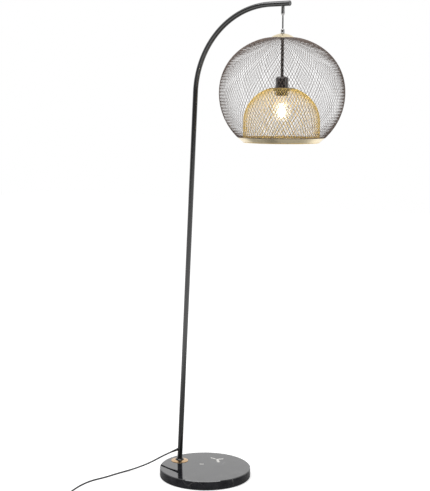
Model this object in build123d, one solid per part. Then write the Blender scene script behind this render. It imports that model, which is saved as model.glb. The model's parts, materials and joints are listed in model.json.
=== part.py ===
"""Arc floor lamp with a double wire cage shade, in millimetres.

The origin is the centre of the round base, on the floor. +Z is up and +X runs along the arm,
from the pole to the shade. The pole stands off centre and leans slightly towards the shade.
"""

from build123d import *
from math import acos, asin, atan2, cos, hypot, pi, radians, sin, tan
import os

# ---- driving dimensions ----

BASE_RADIUS = 152.5
BASE_TOP = 31.0
PAD_THICKNESS = 1.5
PAD_RADIUS = 145.0
BASE_CHAMFER = 2.0

FOOT_X = -107.0
POLE_LEAN = 2.65
TUBE_RADIUS = 8.5
TUBE_WALL = 1.5
BORE_RADIUS = TUBE_RADIUS - TUBE_WALL
FIT = 0.05
STRAIGHT_LENGTH = 1260.0
BEND_RADIUS = 285.0
JOINT_HEIGHTS = (340.0, 770.0, 1200.0)
COUPLER_LENGTH = 50.0

SHADE_X = 283.6
ARM_TIP = 26.0
GRIP_MOUTH = 1524.5
GRIP_RADIUS = 6.1

CORD_RADIUS = 2.5
EXIT_HEIGHT = 73.5
EXIT_HEADING = -139.0
EXIT_SLOPE = 20.0

CAGE_RADIUS = 199.0
CAGE_CENTRE = 1285.0
CAGE_CROWN = 175.8
CAGE_SQUARENESS = 2.1
CAGE_BOTTOM = 1147.5
CAGE_TOP_RADIUS = 37.5
CAGE_STRANDS = 24
CAGE_LEVELS = 8

DOME_RADIUS = 119.5
DOME_SPRING = 1197.0
DOME_CROWN = 112.0
DOME_BOTTOM = 1131.5
DOME_TOP = 1300.0
DOME_TOP_RADIUS = 39.0
DOME_STRANDS = 16
DOME_LEVELS = 6

STRAND_WIDTH = 2.6
STRAND_DEPTH = 2.0

PLATE_THICKNESS = 1.2
BULB_RADIUS = 30.0
BULB_BOTTOM = 1200.0

COIL_CENTRE = (-40.0, -420.0)
COIL_OUTER = 38.0
COIL_PITCH = 5.6
COIL_LAYER = 5.5
COIL_HALF_TURNS = 6

SWITCH_ENTRY = (-195.0, -452.0, 6.0)
SWITCH_LENGTH = 84.0
SWITCH_WIDTH = 38.0
SWITCH_HEIGHT = 23.0
PLUG_REAR = (8.0, -464.0, 7.5)

# ---- helpers ----


def turned(*outline, x=0.0):
    """Solid turned about an upright axis at x, from (radius, height) corners."""
    return Pos(x, 0, 0) * revolve(make_face(Plane.XZ * Polyline(*outline, close=True)), Axis.Z)


def turned_curve(*edges, x=0.0):
    """The same, from a closed chain of edges drawn as (radius, height)."""
    return Pos(x, 0, 0) * revolve(make_face(Plane.XZ * (Curve() + list(edges))), Axis.Z)


def ring(outer, inner, low, high, x=0.0):
    """Upright sleeve, or a solid bar where inner is 0."""
    return turned((inner, low), (outer, low), (outer, high), (inner, high), x=x)


def dome_points(rim, crown, steps, inward=0.0):
    """Points from a (radius, height) at the rim up to the crown, on a ball centred on the axis."""
    centre = (rim[0] ** 2 - crown[0] ** 2 + rim[1] ** 2 - crown[1] ** 2) / (2 * (rim[1] - crown[1]))
    ball = hypot(rim[0], rim[1] - centre)
    low, high = (acos(radius / ball) for radius, _ in (rim, crown))
    return arc_points((0, centre), ball - inward, low, high, steps)


def arc_points(centre, radius, start, end, steps):
    """Points on an arc of the profile plane, between two angles in radians."""
    angles = [start + (end - start) * step / steps for step in range(steps + 1)]
    return [(centre[0] + radius * cos(a), centre[1] + radius * sin(a)) for a in angles]


def disc_at(path, radius):
    """Round face at the start of a path, square to it."""
    return Plane(path @ 0, z_dir=path % 0) * Circle(radius)


def route_radii(points):
    """Bend radius at each inner point: 0.45 of the shorter run over the tangent of half the turn."""
    corners = [Vector(*p) for p in points]
    radii = []
    for before, here, after in zip(corners, corners[1:], corners[2:]):
        turn = radians((here - before).get_angle(after - here))
        radii.append(0.45 * min((here - before).length, (after - here).length) / tan(turn / 2))
    return radii


def cord_tube(name, points, radii=None):
    """Round cord along straight runs joined by tangent arcs; prints its bends and its volume."""
    radii = radii or route_radii(points)
    path = FilletPolyline(*points, radius=radii)
    tube = sweep(disc_at(path, CORD_RADIUS), path=path)
    share = tube.volume / (pi * CORD_RADIUS**2 * path.length)
    print(f"{name}: {path.length:.0f} mm, radii {[round(r) for r in radii]}, volume share {share:.4f}")
    return tube


def hexagon_bar(across_flats, low, high, x=0.0):
    """Upright hexagonal prism."""
    outline = RegularPolygon(across_flats / 2, 6, major_radius=False)
    return Pos(x, 0, low) * extrude(outline, high - low)


# ---- base and foot ----

BOLT_RADIUS = 4.0
RECESS_RADIUS = 21.0
RECESS_TOP = 15.0
POLE_FRAME = Location((FOOT_X, 0, BASE_TOP), (0, POLE_LEAN, 0))


def base_disc():
    stone = Pos(0, 0, PAD_THICKNESS) * Cylinder(
        BASE_RADIUS, BASE_TOP - PAD_THICKNESS, align=(Align.CENTER, Align.CENTER, Align.MIN)
    )
    rims = stone.edges().filter_by(GeomType.CIRCLE).sort_by(Axis.Z)
    stone = chamfer(rims[-1], BASE_CHAMFER)
    stone = chamfer(stone.edges().filter_by(GeomType.CIRCLE).sort_by(Axis.Z)[0], BASE_CHAMFER / 2)
    recess = ring(RECESS_RADIUS, 0, 0, RECESS_TOP, x=FOOT_X)
    return stone - recess - ring(BOLT_RADIUS + 0.5, 0, RECESS_TOP, BASE_TOP, x=FOOT_X)


def base_pad():
    sheet = ring(PAD_RADIUS, 0, 0, PAD_THICKNESS)
    return sheet - ring(RECESS_RADIUS, 0, 0, PAD_THICKNESS, x=FOOT_X)


def foot_washer():
    return ring(15, BOLT_RADIUS + 0.4, RECESS_TOP - 2.5, RECESS_TOP, x=FOOT_X)


def foot_bolt():
    head_top = RECESS_TOP - 2.5
    head = hexagon_bar(13, head_top - 5.3, head_top, x=FOOT_X)
    return head + ring(BOLT_RADIUS, 0, head_top, BASE_TOP + 20, x=FOOT_X)


def foot_insert():
    """Threaded plug in the pole's lower end: square to the pole outside, upright inside."""
    plug = POLE_FRAME * Pos(0, 0, 12) * Cylinder(BORE_RADIUS - FIT, 30)
    plug &= Pos(FOOT_X, 0, BASE_TOP + 20) * Box(40, 40, 40)
    return plug - ring(BOLT_RADIUS + FIT, 0, BASE_TOP, BASE_TOP + 22, x=FOOT_X)


def rosette():
    """Spun brass cover: a low dome of 1 mm sheet with a hole for the pole."""
    rim, crown = (29, BASE_TOP + 1), (13, BASE_TOP + 4)
    inside = dome_points(rim, crown, 3, inward=1.0)
    return turned(
        (rim[0], BASE_TOP),
        *dome_points(rim, crown, 3),
        (9.6, crown[1]),
        (9.6, inside[-1][1]),
        *reversed(inside),
        (inside[0][0], BASE_TOP),
        x=FOOT_X,
    )


def foot_ring():
    """Black ferrule that hides the gap where the leaning pole passes the rosette."""
    low, high = (14.8, BASE_TOP + 4), (11.2, BASE_TOP + 8.2)
    body = turned((0, low[1]), *dome_points(low, high, 3), (0, high[1]), x=FOOT_X)
    return body - POLE_FRAME * Cylinder(TUBE_RADIUS + FIT, 60)


# ---- pole and arm ----


def pole_tube(start, end):
    """Straight tube section along the leaning pole, with a fine chamfer at each end."""
    tube = Cylinder(TUBE_RADIUS, end - start, align=(Align.CENTER, Align.CENTER, Align.MIN))
    tube = chamfer(tube.edges().filter_by(GeomType.CIRCLE), 0.4)
    return POLE_FRAME * Pos(0, 0, start) * (tube - Cylinder(BORE_RADIUS, 3 * (end - start)))


def exit_frame():
    """Where the cord leaves the pole: on its axis, with +Z pointing out and down along the cord."""
    along = (EXIT_HEIGHT - BASE_TOP) / cos(radians(POLE_LEAN))
    centre = (POLE_FRAME * Pos(0, 0, along)).position
    level, drop = cos(radians(EXIT_SLOPE)), -sin(radians(EXIT_SLOPE))
    heading = radians(EXIT_HEADING)
    return Plane(centre, z_dir=(level * cos(heading), level * sin(heading), drop))


EXIT = exit_frame()
GROMMET_RADIUS = 4.2
EXIT_REACH = 12.0


def pole_lower():
    """First section: cut level to stand on the base, with a slanted hole for the cord."""
    tube = pole_tube(-5, JOINT_HEIGHTS[0])
    tube &= Pos(FOOT_X, 0, BASE_TOP + 250) * Box(200, 200, 500)
    return tube - EXIT * Pos(0, 0, 10) * Cylinder(GROMMET_RADIUS, 20)


def exit_grommet():
    """Rubber bush in the hole, with a rounded collar outside the tube."""
    collar = Pos(0, 0, 10.2) * Cylinder(GROMMET_RADIUS + 1.2, 2.8)
    collar = fillet(collar.edges().sort_by(Axis.Z)[-1], 1.0)
    neck = Pos(0, 0, 8) * Cylinder(GROMMET_RADIUS - FIT, 7)
    bush = EXIT * (collar + neck - Cylinder(CORD_RADIUS + FIT, 60))
    tube = POLE_FRAME * Pos(0, 0, 40) * Cylinder(TUBE_RADIUS + FIT, 80)
    bore = POLE_FRAME * Pos(0, 0, 40) * Cylinder(BORE_RADIUS, 80)
    return (bush - tube) + (bush & tube & EXIT * Pos(0, 0, 10) * Cylinder(GROMMET_RADIUS - FIT, 20)) - bore


BEND_START = (POLE_FRAME * Pos(0, 0, STRAIGHT_LENGTH)).position
BEND_CENTRE = BEND_START + Vector(cos(radians(POLE_LEAN)), 0, -sin(radians(POLE_LEAN))) * BEND_RADIUS
ARM_HEIGHT = BEND_CENTRE.Z + BEND_RADIUS


def arm_line(start, end_x):
    """Centre line of the bent arm, from a height along the pole to a point on the level run."""
    foot = (POLE_FRAME * Pos(0, 0, start)).position
    crest = Vector(BEND_CENTRE.X, 0, ARM_HEIGHT)
    pole_way = (BEND_START - foot).normalized()
    return Curve() + [
        Line(foot, BEND_START),
        Edge.make_tangent_arc(BEND_START, pole_way, crest),
        Line(crest, Vector(end_x, 0, ARM_HEIGHT)),
    ]


def arm():
    """Bent tube from the last joint over to the tip, with a hole below for the cord grip."""
    line = arm_line(JOINT_HEIGHTS[-1], SHADE_X + ARM_TIP - 2)
    section = Plane(line @ 0, z_dir=line % 0) * (Circle(TUBE_RADIUS) - Circle(BORE_RADIUS))
    tube = sweep(section, path=Wire(line.edges()))
    return tube - Pos(SHADE_X, 0, ARM_HEIGHT - TUBE_RADIUS) * Cylinder(4.2, 8)


def tube_couplers():
    """Inner sleeves that join the sections end to end."""
    sleeve = Cylinder(BORE_RADIUS - FIT, COUPLER_LENGTH) - Cylinder(4.0, COUPLER_LENGTH)
    sleeve = chamfer(sleeve.edges().filter_by(GeomType.CIRCLE).sort_by(SortBy.RADIUS)[-2:], 0.8)
    return Compound([POLE_FRAME * Pos(0, 0, height) * sleeve for height in JOINT_HEIGHTS])


def arm_end_cap():
    """Push-in cap with a bevelled face."""
    plug = BORE_RADIUS - FIT
    outline = [(0, -11), (plug, -11), (plug, -2), (TUBE_RADIUS, -2), (TUBE_RADIUS, -0.8), (7.7, 0), (0, 0)]
    return Pos(SHADE_X + ARM_TIP, 0, ARM_HEIGHT) * Rot(0, 90, 0) * turned(*outline)


# ---- hanging point ----

TUBE_UNDERSIDE = ARM_HEIGHT - TUBE_RADIUS
SWING_Z = GRIP_MOUTH - 2.8
GRIP_TOP = 1483.0
TILT_Z = GRIP_TOP + 2.8
DISC_TOP = 1469.5
DISC_EDGE = 1460.0


def upper_cord_grip():
    """Nickel cord grip: a saddle seat under the tube, a slightly flared body and a cone mouth."""
    body = turned(
        (CORD_RADIUS + 0.1, GRIP_MOUTH),
        (3.3, GRIP_MOUTH),
        (GRIP_RADIUS, GRIP_MOUTH + 6.5),
        (GRIP_RADIUS, GRIP_MOUTH + 8.5),
        (GRIP_RADIUS - 0.9, ARM_HEIGHT - 3),
        (CORD_RADIUS + 0.6, ARM_HEIGHT - 3),
        (CORD_RADIUS + 0.6, TUBE_UNDERSIDE - 3),
        (CORD_RADIUS + 0.1, TUBE_UNDERSIDE - 3),
        x=SHADE_X,
    )
    body -= Pos(SHADE_X, 0, ARM_HEIGHT) * Rot(0, 90, 0) * Cylinder(TUBE_RADIUS, 40)
    return body + ring(4.1, CORD_RADIUS + 0.6, TUBE_UNDERSIDE, TUBE_UNDERSIDE + 4.5, x=SHADE_X)


def grip_nut():
    """Ring nut on the grip's stem, inside the tube."""
    nut = ring(6.2, 4.15, TUBE_UNDERSIDE + 2.9, TUBE_UNDERSIDE + 5.4, x=SHADE_X)
    bore = Pos(SHADE_X, 0, ARM_HEIGHT) * Rot(0, 90, 0) * Cylinder(BORE_RADIUS - FIT, 40)
    return nut & bore


def drop_cord():
    """Short cord that carries the shade; its round ends sit on the two bending points."""
    radius = CORD_RADIUS - 0.1
    shaft = ring(radius, 0, TILT_Z, SWING_Z, x=SHADE_X)
    return shaft + Pos(SHADE_X, 0, SWING_Z) * Sphere(radius) + Pos(SHADE_X, 0, TILT_Z) * Sphere(radius)


def lower_cord_grip():
    """Nickel grip on top of the shade: bevelled head, waist and flange."""
    return turned(
        (CORD_RADIUS + 0.1, DISC_TOP + 8),
        (CORD_RADIUS + 0.1, GRIP_TOP),
        (4.6, GRIP_TOP),
        (5.8, GRIP_TOP - 1.6),
        (5.8, DISC_TOP + 3.4),
        (6.3, DISC_TOP + 2.6),
        (6.3, DISC_TOP + 0.3),
        (5.1, DISC_TOP + 0.3),
        (5.1, DISC_TOP + 8),
        x=SHADE_X,
    )


# ---- shade: top fixing ----

PIPE_RADIUS = 5.0
PIPE_BORE = 3.5
PIPE_TOP = DISC_TOP + 7.5
HOLDER_TOP = 1337.0


def top_cap():
    """Domed brass disc that closes the outer cage, spun from 1.2 mm sheet."""
    rim, crown = (37.5, DISC_EDGE), (PIPE_RADIUS + 0.1, DISC_TOP)
    inside = dome_points(rim, crown, 5, inward=1.2)
    return turned(*dome_points(rim, crown, 5), *reversed(inside), x=SHADE_X)


def clamp_plate():
    """Steel plate that presses the cage's upper hoop up against the brass disc."""
    return ring(35.5, PIPE_RADIUS + 0.1, DISC_EDGE - 5.1, DISC_EDGE - 3.6, x=SHADE_X)


def clamp_nut():
    low = DISC_EDGE - 10.1
    nut = hexagon_bar(14, low, low + 5, x=SHADE_X)
    return nut - ring(PIPE_RADIUS + 0.1, 0, low, low + 5, x=SHADE_X)


def hanging_pipe():
    """Threaded tube that carries the lampholder; the cord runs down inside it."""
    return ring(PIPE_RADIUS, PIPE_BORE, HOLDER_TOP - 7, PIPE_TOP, x=SHADE_X)


def pipe_lead():
    """Cord from the lower grip through the pipe into the lampholder."""
    return ring(CORD_RADIUS - 0.1, 0, FLANGE_BOTTOM + 15, GRIP_TOP - 6, x=SHADE_X)


# ---- shade: wire cages ----


def cage_profile(step):
    """(radius, height) of the outer cage, for a step from 0 at its lower hoop to 1 at its upper."""
    power = 2 / CAGE_SQUARENESS
    low = -asin((CAGE_CENTRE - CAGE_BOTTOM) / CAGE_RADIUS)
    high = acos((CAGE_TOP_RADIUS / CAGE_RADIUS) ** (1 / power))
    angle = low + (high - low) * step
    if angle < 0:
        return CAGE_RADIUS * cos(angle), CAGE_CENTRE + CAGE_RADIUS * sin(angle)
    return CAGE_RADIUS * cos(angle) ** power, CAGE_CENTRE + CAGE_CROWN * sin(angle) ** power


def dome_profile(step):
    """(radius, height) of the inner dome: an upright wall, then an elliptic shoulder."""
    wall = DOME_SPRING - DOME_BOTTOM
    high = acos(DOME_TOP_RADIUS / DOME_RADIUS)
    shoulder = high * (DOME_RADIUS + DOME_CROWN) / 2
    run = step * (wall + shoulder)
    if run < wall:
        return DOME_RADIUS, DOME_BOTTOM + run
    angle = high * (run - wall) / shoulder
    crown = (DOME_TOP - DOME_SPRING) / sin(high)
    return DOME_RADIUS * cos(angle), DOME_SPRING + crown * sin(angle)


def polygon(*corners):
    return Wire.make_polygon(corners, close=True)


def half_diamond(left, right, tip, hem, shrink, toward_centre):
    """Faces of one half of a diamond cell: strands outside and inside, and the opening's walls.

    The opening runs on into the cell's other half; where a hem is given it is closed instead.
    """
    middle = (left + right) / 2
    base = middle + (tip - middle) * hem
    opening = [base + (corner - middle) * shrink for corner in (left, right, tip)]
    faces = []
    for place in (lambda point: point, toward_centre):
        cell = [place(point) for point in (left, right, tip)]
        hole = [place(point) for point in opening]
        if hem:
            faces.append(Face(polygon(*cell), [polygon(*hole)]))
        else:
            faces.append(Face(polygon(cell[0], hole[0], hole[2], hole[1], cell[1], cell[2])))
    edges = [(opening[0], opening[2]), (opening[2], opening[1])]
    if hem:
        edges += [(opening[1], opening[0]), (left, right)]
    for start, end in edges:
        faces.append(Face(polygon(start, end, toward_centre(end), toward_centre(start))))
    return faces


def diamond_net(profile, strands, levels, centre_height):
    """Closed net of diamond openings wrapped round the Z axis, on rings of crossings that are
    turned by half a cell from one level to the next."""
    centre = Vector(0, 0, centre_height)
    depth = 1 - STRAND_DEPTH / profile(0.5)[0]

    def toward_centre(point):
        return centre + (point - centre) * depth

    def crossing(level, place):
        radius, height = profile(level / levels)
        angle = 2 * pi * (place + 0.5 * (level % 2)) / strands
        return Vector(radius * cos(angle), radius * sin(angle), height)

    faces = []
    for level in range(levels + 1):
        for place in range(strands):
            left, right = crossing(level, place), crossing(level, place + 1)
            middle = (left + right) / 2
            tips = [
                crossing(level + step, place + level % 2)
                for step in (1, -1)
                if 0 <= level + step <= levels
            ]
            half = (left - middle).length
            rise = sum((tip - middle).length for tip in tips) / len(tips)
            hem = 0 if len(tips) == 2 else STRAND_WIDTH / rise
            shrink = 1 - hem - STRAND_WIDTH / 2 * hypot(half, rise) / (half * rise)
            for tip in tips:
                faces += half_diamond(left, right, tip, hem, shrink, toward_centre)
    return Solid(Shell(faces))


def hoop(strands, radius, width, low, height):
    """Edge hoop of a cage, with one flat for each strand crossing."""
    outline = RegularPolygon(radius, strands) - RegularPolygon(radius - width, strands)
    return Pos(0, 0, low) * extrude(outline, height)


def outer_cage():
    net = diamond_net(cage_profile, CAGE_STRANDS, CAGE_LEVELS, CAGE_CENTRE)
    lower = hoop(CAGE_STRANDS, cage_profile(0)[0], 3.0, CAGE_BOTTOM - 1.0, 3.0)
    upper = hoop(CAGE_STRANDS, CAGE_TOP_RADIUS, 4.0, DISC_EDGE - 3.6, 2.5)
    return Pos(SHADE_X, 0, 0) * (net + lower + upper)


def inner_cage():
    net = diamond_net(dome_profile, DOME_STRANDS, DOME_LEVELS, DOME_SPRING)
    lower = hoop(DOME_STRANDS, DOME_RADIUS, 3.0, DOME_BOTTOM, 3.0)
    upper = hoop(DOME_STRANDS, DOME_TOP_RADIUS, 4.0, DOME_TOP - 2.5, 2.5)
    return Pos(SHADE_X, 0, 0) * (net + lower + upper)


def bottom_ring():
    """Brass band between the cages: it carries on the sphere and turns in under the dome."""
    sheet = 1.5
    top = CAGE_BOTTOM - 1.0
    bottom = DOME_BOTTOM - sheet

    def on_sphere(height, inward=0.0):
        reach = CAGE_RADIUS - inward
        return (reach**2 - (height - CAGE_CENTRE) ** 2) ** 0.5

    middle = (top + bottom) / 2
    return turned_curve(
        ThreePointArc((on_sphere(bottom), bottom), (on_sphere(middle), middle), (on_sphere(top), top)),
        Polyline((on_sphere(top), top), (on_sphere(top) - 6, top), (on_sphere(top) - 6, top - sheet)),
        Line((on_sphere(top) - 6, top - sheet), (on_sphere(top - sheet, 2), top - sheet)),
        Line((on_sphere(top - sheet, 2), top - sheet), (on_sphere(bottom + sheet, 2), bottom + sheet)),
        Polyline((on_sphere(bottom + sheet, 2), bottom + sheet), (113, bottom + sheet), (113, bottom)),
        Line((113, bottom), (on_sphere(bottom), bottom)),
        x=SHADE_X,
    )


# ---- shade: lampholder and bulb ----

HOLDER_RADIUS = 20.2
SKIRT_RADIUS = 19.6
SHELL_RADIUS = 13.4
FLANGE_BOTTOM = DOME_TOP + PLATE_THICKNESS


def dome_plate():
    """Flat brass disc on top of the inner dome, clamped by the lampholder."""
    return ring(DOME_TOP_RADIUS + 0.5, SKIRT_RADIUS + 0.2, DOME_TOP, FLANGE_BOTTOM, x=SHADE_X)


def holder_cap():
    """Upper half of the lampholder, with a round shoulder and a threaded neck hole."""
    low, round_off, wall = FLANGE_BOTTOM + 8, 9.0, 2.0
    shoulder = (HOLDER_RADIUS - round_off, HOLDER_TOP - round_off)
    return turned(
        (HOLDER_RADIUS, low),
        *arc_points(shoulder, round_off, 0, pi / 2, 5),
        (PIPE_RADIUS + FIT, HOLDER_TOP),
        (PIPE_RADIUS + FIT, HOLDER_TOP - 8),
        (HOLDER_RADIUS - wall, HOLDER_TOP - 8),
        (HOLDER_RADIUS - wall, low),
        x=SHADE_X,
    )


def holder_body():
    """Lower half: a flange over the plate and a threaded skirt through it, open below."""
    low = 1277.0
    return turned(
        (SKIRT_RADIUS, low),
        (SKIRT_RADIUS, FLANGE_BOTTOM),
        (HOLDER_RADIUS + 2.2, FLANGE_BOTTOM),
        (HOLDER_RADIUS + 2.2, FLANGE_BOTTOM + 2.4),
        (HOLDER_RADIUS, FLANGE_BOTTOM + 2.4),
        (HOLDER_RADIUS, FLANGE_BOTTOM + 8),
        (HOLDER_RADIUS - 2.2, FLANGE_BOTTOM + 8),
        (HOLDER_RADIUS - 2.2, FLANGE_BOTTOM + 5),
        (SKIRT_RADIUS - 2.4, FLANGE_BOTTOM + 5),
        (SKIRT_RADIUS - 2.4, low),
        x=SHADE_X,
    )


def shade_ring():
    """Ring nut on the skirt that holds the dome's plate from below."""
    nut = ring(26, SKIRT_RADIUS + FIT, DOME_TOP - 9, DOME_TOP, x=SHADE_X)
    flutes = PolarLocations(26.6, 12) * Cylinder(1.6, 9)
    return nut - [Pos(SHADE_X, 0, DOME_TOP - 4.5) * flute for flute in flutes]


def contact_block():
    """Insulating block on the ledge of the lower half; its pocket takes the centre contact."""
    block = ring(17.9, 0, FLANGE_BOTTOM + 5, FLANGE_BOTTOM + 15, x=SHADE_X)
    return block - ring(8, 0, FLANGE_BOTTOM + 5, FLANGE_BOTTOM + 8, x=SHADE_X)


def screw_shell():
    """Rolled brass shell under the block that takes the bulb's cap."""
    return ring(SHELL_RADIUS + 0.9, SHELL_RADIUS + 0.4, 1281, FLANGE_BOTTOM + 5, x=SHADE_X)


def centre_contact():
    """Sprung brass tongue that touches the bulb's tip."""
    return Pos(SHADE_X, 0, FLANGE_BOTTOM + 7.5) * Box(14, 5, 1.0)


def bulb_cap():
    """Screw cap of the bulb, turned as a plain core with its rolled rim."""
    top = FLANGE_BOTTOM + 5.0
    return turned(
        (0, top - 24),
        (SHELL_RADIUS - 0.4, top - 24),
        (SHELL_RADIUS, top - 22.5),
        (SHELL_RADIUS, top - 4),
        (8.5, top),
        (0, top),
        x=SHADE_X,
    )


def bulb_tip():
    """Insulator button and solder contact on top of the cap."""
    top = FLANGE_BOTTOM + 5.0
    return turned((0, top), (5.2, top), (3.8, top + 2.0), (0, top + 2.0), x=SHADE_X)


def bulb_glass():
    """Pear-shaped frosted glass: a ball that draws in to the cap through a hollow curve."""
    centre, leave = BULB_BOTTOM + BULB_RADIUS, radians(42)
    neck_radius, neck_top = 12.6, FLANGE_BOTTOM + 5.0 - 24
    ball = arc_points((0, centre), BULB_RADIUS, -pi / 2, leave, 12)
    across, rise = ball[-1][0] - neck_radius, neck_top - ball[-1][1]
    hollow = (across**2 + rise**2) / (2 * (rise * sin(leave) - across * cos(leave)))
    throat = (ball[-1][0] + hollow * cos(leave), ball[-1][1] + hollow * sin(leave))
    turn = atan2(neck_top - throat[1], throat[0] - neck_radius)
    neck = arc_points(throat, hollow, pi + leave, pi - turn, 5)
    return turned(*ball[:-1], *neck, (0, neck_top), x=SHADE_X)


# ---- mains lead ----

FLOOR_CORD = CORD_RADIUS + 0.1
INSIDE = Vector(8, 0, 0)


def exit_route():
    """Hand-set points of the cord from the pole over the base's rim and along the floor."""
    start = EXIT.origin + EXIT.z_dir * EXIT_REACH
    beyond = start + EXIT.z_dir * 20
    return [
        start,
        beyond,
        Vector(-153, -41.5, 47.0),
        Vector(-184, -68, 25.5),
        Vector(-218.5, -99, 8.5),
        Vector(-238, -131, FLOOR_CORD),
        Vector(-247, -171, FLOOR_CORD),
        Vector(-254, -222, FLOOR_CORD),
        Vector(-269, -268, FLOOR_CORD),
        Vector(-270, -318, FLOOR_CORD),
        Vector(-261, -366, FLOOR_CORD),
        Vector(-247, -410, FLOOR_CORD),
        Vector(-232, -440, FLOOR_CORD + 0.6),
        Vector(-213, -452, SWITCH_ENTRY[2]),
        Vector(*SWITCH_ENTRY) + INSIDE,
    ]


def mains_cord():
    """Free stretch of the lead, from the grommet to the foot switch."""
    return cord_tube("mains_cord", exit_route())


def inner_cord():
    """Lead inside the lamp: in at the grommet, up the pole, over the arm and down to the grip."""
    start = EXIT.origin + EXIT.z_dir * EXIT_REACH
    rise = POLE_FRAME * Pos(0, 0, STRAIGHT_LENGTH)
    corner = Vector(SHADE_X, 0, ARM_HEIGHT)
    low = FilletPolyline(start, EXIT.origin, BEND_START, radius=[9.0])
    crest = Vector(BEND_CENTRE.X, 0, ARM_HEIGHT)
    bend = Edge.make_tangent_arc(BEND_START, rise.position - EXIT.origin, crest)
    high = FilletPolyline(crest, corner, Vector(SHADE_X, 0, GRIP_MOUTH), radius=[6.0])
    path = Wire(low.edges() + [bend] + high.edges())
    return sweep(disc_at(path, CORD_RADIUS), path=path)


def coil_half_turns():
    """Plan radii of the coil's half turns: in on the floor, one climb, then out again on top."""
    inward = [COIL_OUTER - COIL_PITCH / 2 * turn for turn in range(COIL_HALF_TURNS)]
    climb = inward[-1] - COIL_PITCH / 2
    outward = inward[:0:-1]
    return inward, climb, outward


def coil_path():
    """Unbroken line of the coil: half turns of shrinking then growing radius, one diameter straight
    at each end, and two tilted quarter turns where it climbs to the upper layer."""
    inward, climb, outward = coil_half_turns()
    start = Vector(COIL_CENTRE[0], COIL_CENTRE[1] - COIL_OUTER, CORD_RADIUS)
    heading = 1
    lead = Vector(2 * CORD_RADIUS, 0, 0)
    edges = [Line(start - lead, start)]
    here = start
    for radius in inward:
        there = here + Vector(0, 2 * radius * heading, 0)
        edges.append(Edge.make_tangent_arc(here, Vector(heading, 0, 0), there))
        here, heading = there, -heading
    reach = climb + COIL_LAYER**2 / (8 * climb)
    halfway = here + Vector(reach * heading, climb * heading, COIL_LAYER / 2)
    there = here + Vector(0, 2 * climb * heading, COIL_LAYER)
    first = Edge.make_tangent_arc(here, Vector(heading, 0, 0), halfway)
    edges += [first, Edge.make_tangent_arc(halfway, first % 1, there)]
    here, heading = there, -heading
    for radius in outward:
        there = here + Vector(0, 2 * radius * heading, 0)
        edges.append(Edge.make_tangent_arc(here, Vector(heading, 0, 0), there))
        here, heading = there, -heading
    edges.append(Line(here, here + lead * heading))
    return Wire(edges)


def least_coil_gap(path):
    """Least clear gap between two turns of the coil, measured on points along its line."""
    count = 1200
    spacing = path.length / count
    points = [path @ (k / count) for k in range(count + 1)]
    skip = int(8 * CORD_RADIUS / spacing)
    nearest = min(
        (points[a] - points[b]).length for a in range(0, count, 3) for b in range(a + skip, count + 1, 3)
    )
    return nearest - 2 * CORD_RADIUS


def cord_coil():
    """Put-away part of the lead as one faceted tube; a corner of its section points down."""
    path = coil_path()
    print(f"cord_coil: {path.length:.0f} mm, least gap to itself {least_coil_gap(path):.2f} mm")
    section = Plane(path @ 0, x_dir=(0, 0, 1), z_dir=path % 0) * RegularPolygon(CORD_RADIUS, 6)
    return sweep(section, path=path)


def coil_ends():
    path = coil_path()
    return path @ 0, path @ 1


def cord_to_coil():
    """Short stretch from the foot switch to the coil."""
    start = Vector(*SWITCH_ENTRY) + Vector(SWITCH_LENGTH, 0, 0)
    end = coil_ends()[0]
    return cord_tube(
        "cord_to_coil",
        [start - INSIDE, start + Vector(12, 0, 0), Vector(-78, -455, 3.6), end - Vector(13, 0, 0), end],
    )


def cord_to_plug():
    """Short stretch from the top of the coil to the plug."""
    start = coil_ends()[1]
    end = Vector(*PLUG_REAR)
    return cord_tube(
        "cord_to_plug",
        [start, start + Vector(12, 0, 0), end - Vector(12, 0, 0), end + INSIDE],
    )


# ---- foot switch and plug ----


def at_switch(height):
    """Place over the middle of the foot switch."""
    return Pos(SWITCH_ENTRY[0] + SWITCH_LENGTH / 2, SWITCH_ENTRY[1], height)


def switch_block(low, high, inset=0.0):
    """Slot-shaped block along the cord, drawn in by inset all round."""
    outline = SlotOverall(SWITCH_LENGTH - 8 - 2 * inset, SWITCH_WIDTH - 2 * inset)
    return at_switch(low) * extrude(outline, high - low)


BUTTON_LENGTH = 30.0
BUTTON_WIDTH = 18.0
BUTTON_FOOT = 10.5
SWITCH_SPLIT = 11.5
COVER_TOP = 19.0
SWITCH_WALL = 2.0


def along_switch(radius, start, end):
    """Round bar along the cord's line through the switch, between two distances from its entry."""
    bar = Cylinder(radius, end - start, align=(Align.CENTER, Align.CENTER, Align.MIN))
    return Pos(SWITCH_ENTRY[0] + start, *SWITCH_ENTRY[1:]) * Rot(0, 90, 0) * bar


def switch_base():
    """Lower shell with a collar for the cord at each end."""
    shell = switch_block(0, SWITCH_SPLIT)
    shell = chamfer(shell.edges().group_by(Axis.Z)[0], 1.2)
    for start in (0, SWITCH_LENGTH - 12):
        shell += along_switch(SWITCH_SPLIT - SWITCH_ENTRY[2], start, start + 12)
    hollow = switch_block(SWITCH_WALL, SWITCH_HEIGHT, inset=SWITCH_WALL)
    return shell - hollow - along_switch(CORD_RADIUS + FIT, 0, SWITCH_LENGTH)


def switch_cover():
    """Upper shell with rounded shoulders and the button's window."""
    shell = fillet(switch_block(SWITCH_SPLIT, COVER_TOP).edges().group_by(Axis.Z)[-1], 4.5)
    hollow = switch_block(SWITCH_SPLIT, COVER_TOP - SWITCH_WALL, inset=SWITCH_WALL)
    window = extrude(SlotOverall(BUTTON_LENGTH + 0.8, BUTTON_WIDTH + 0.8), SWITCH_HEIGHT)
    return shell - hollow - at_switch(0) * window


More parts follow.
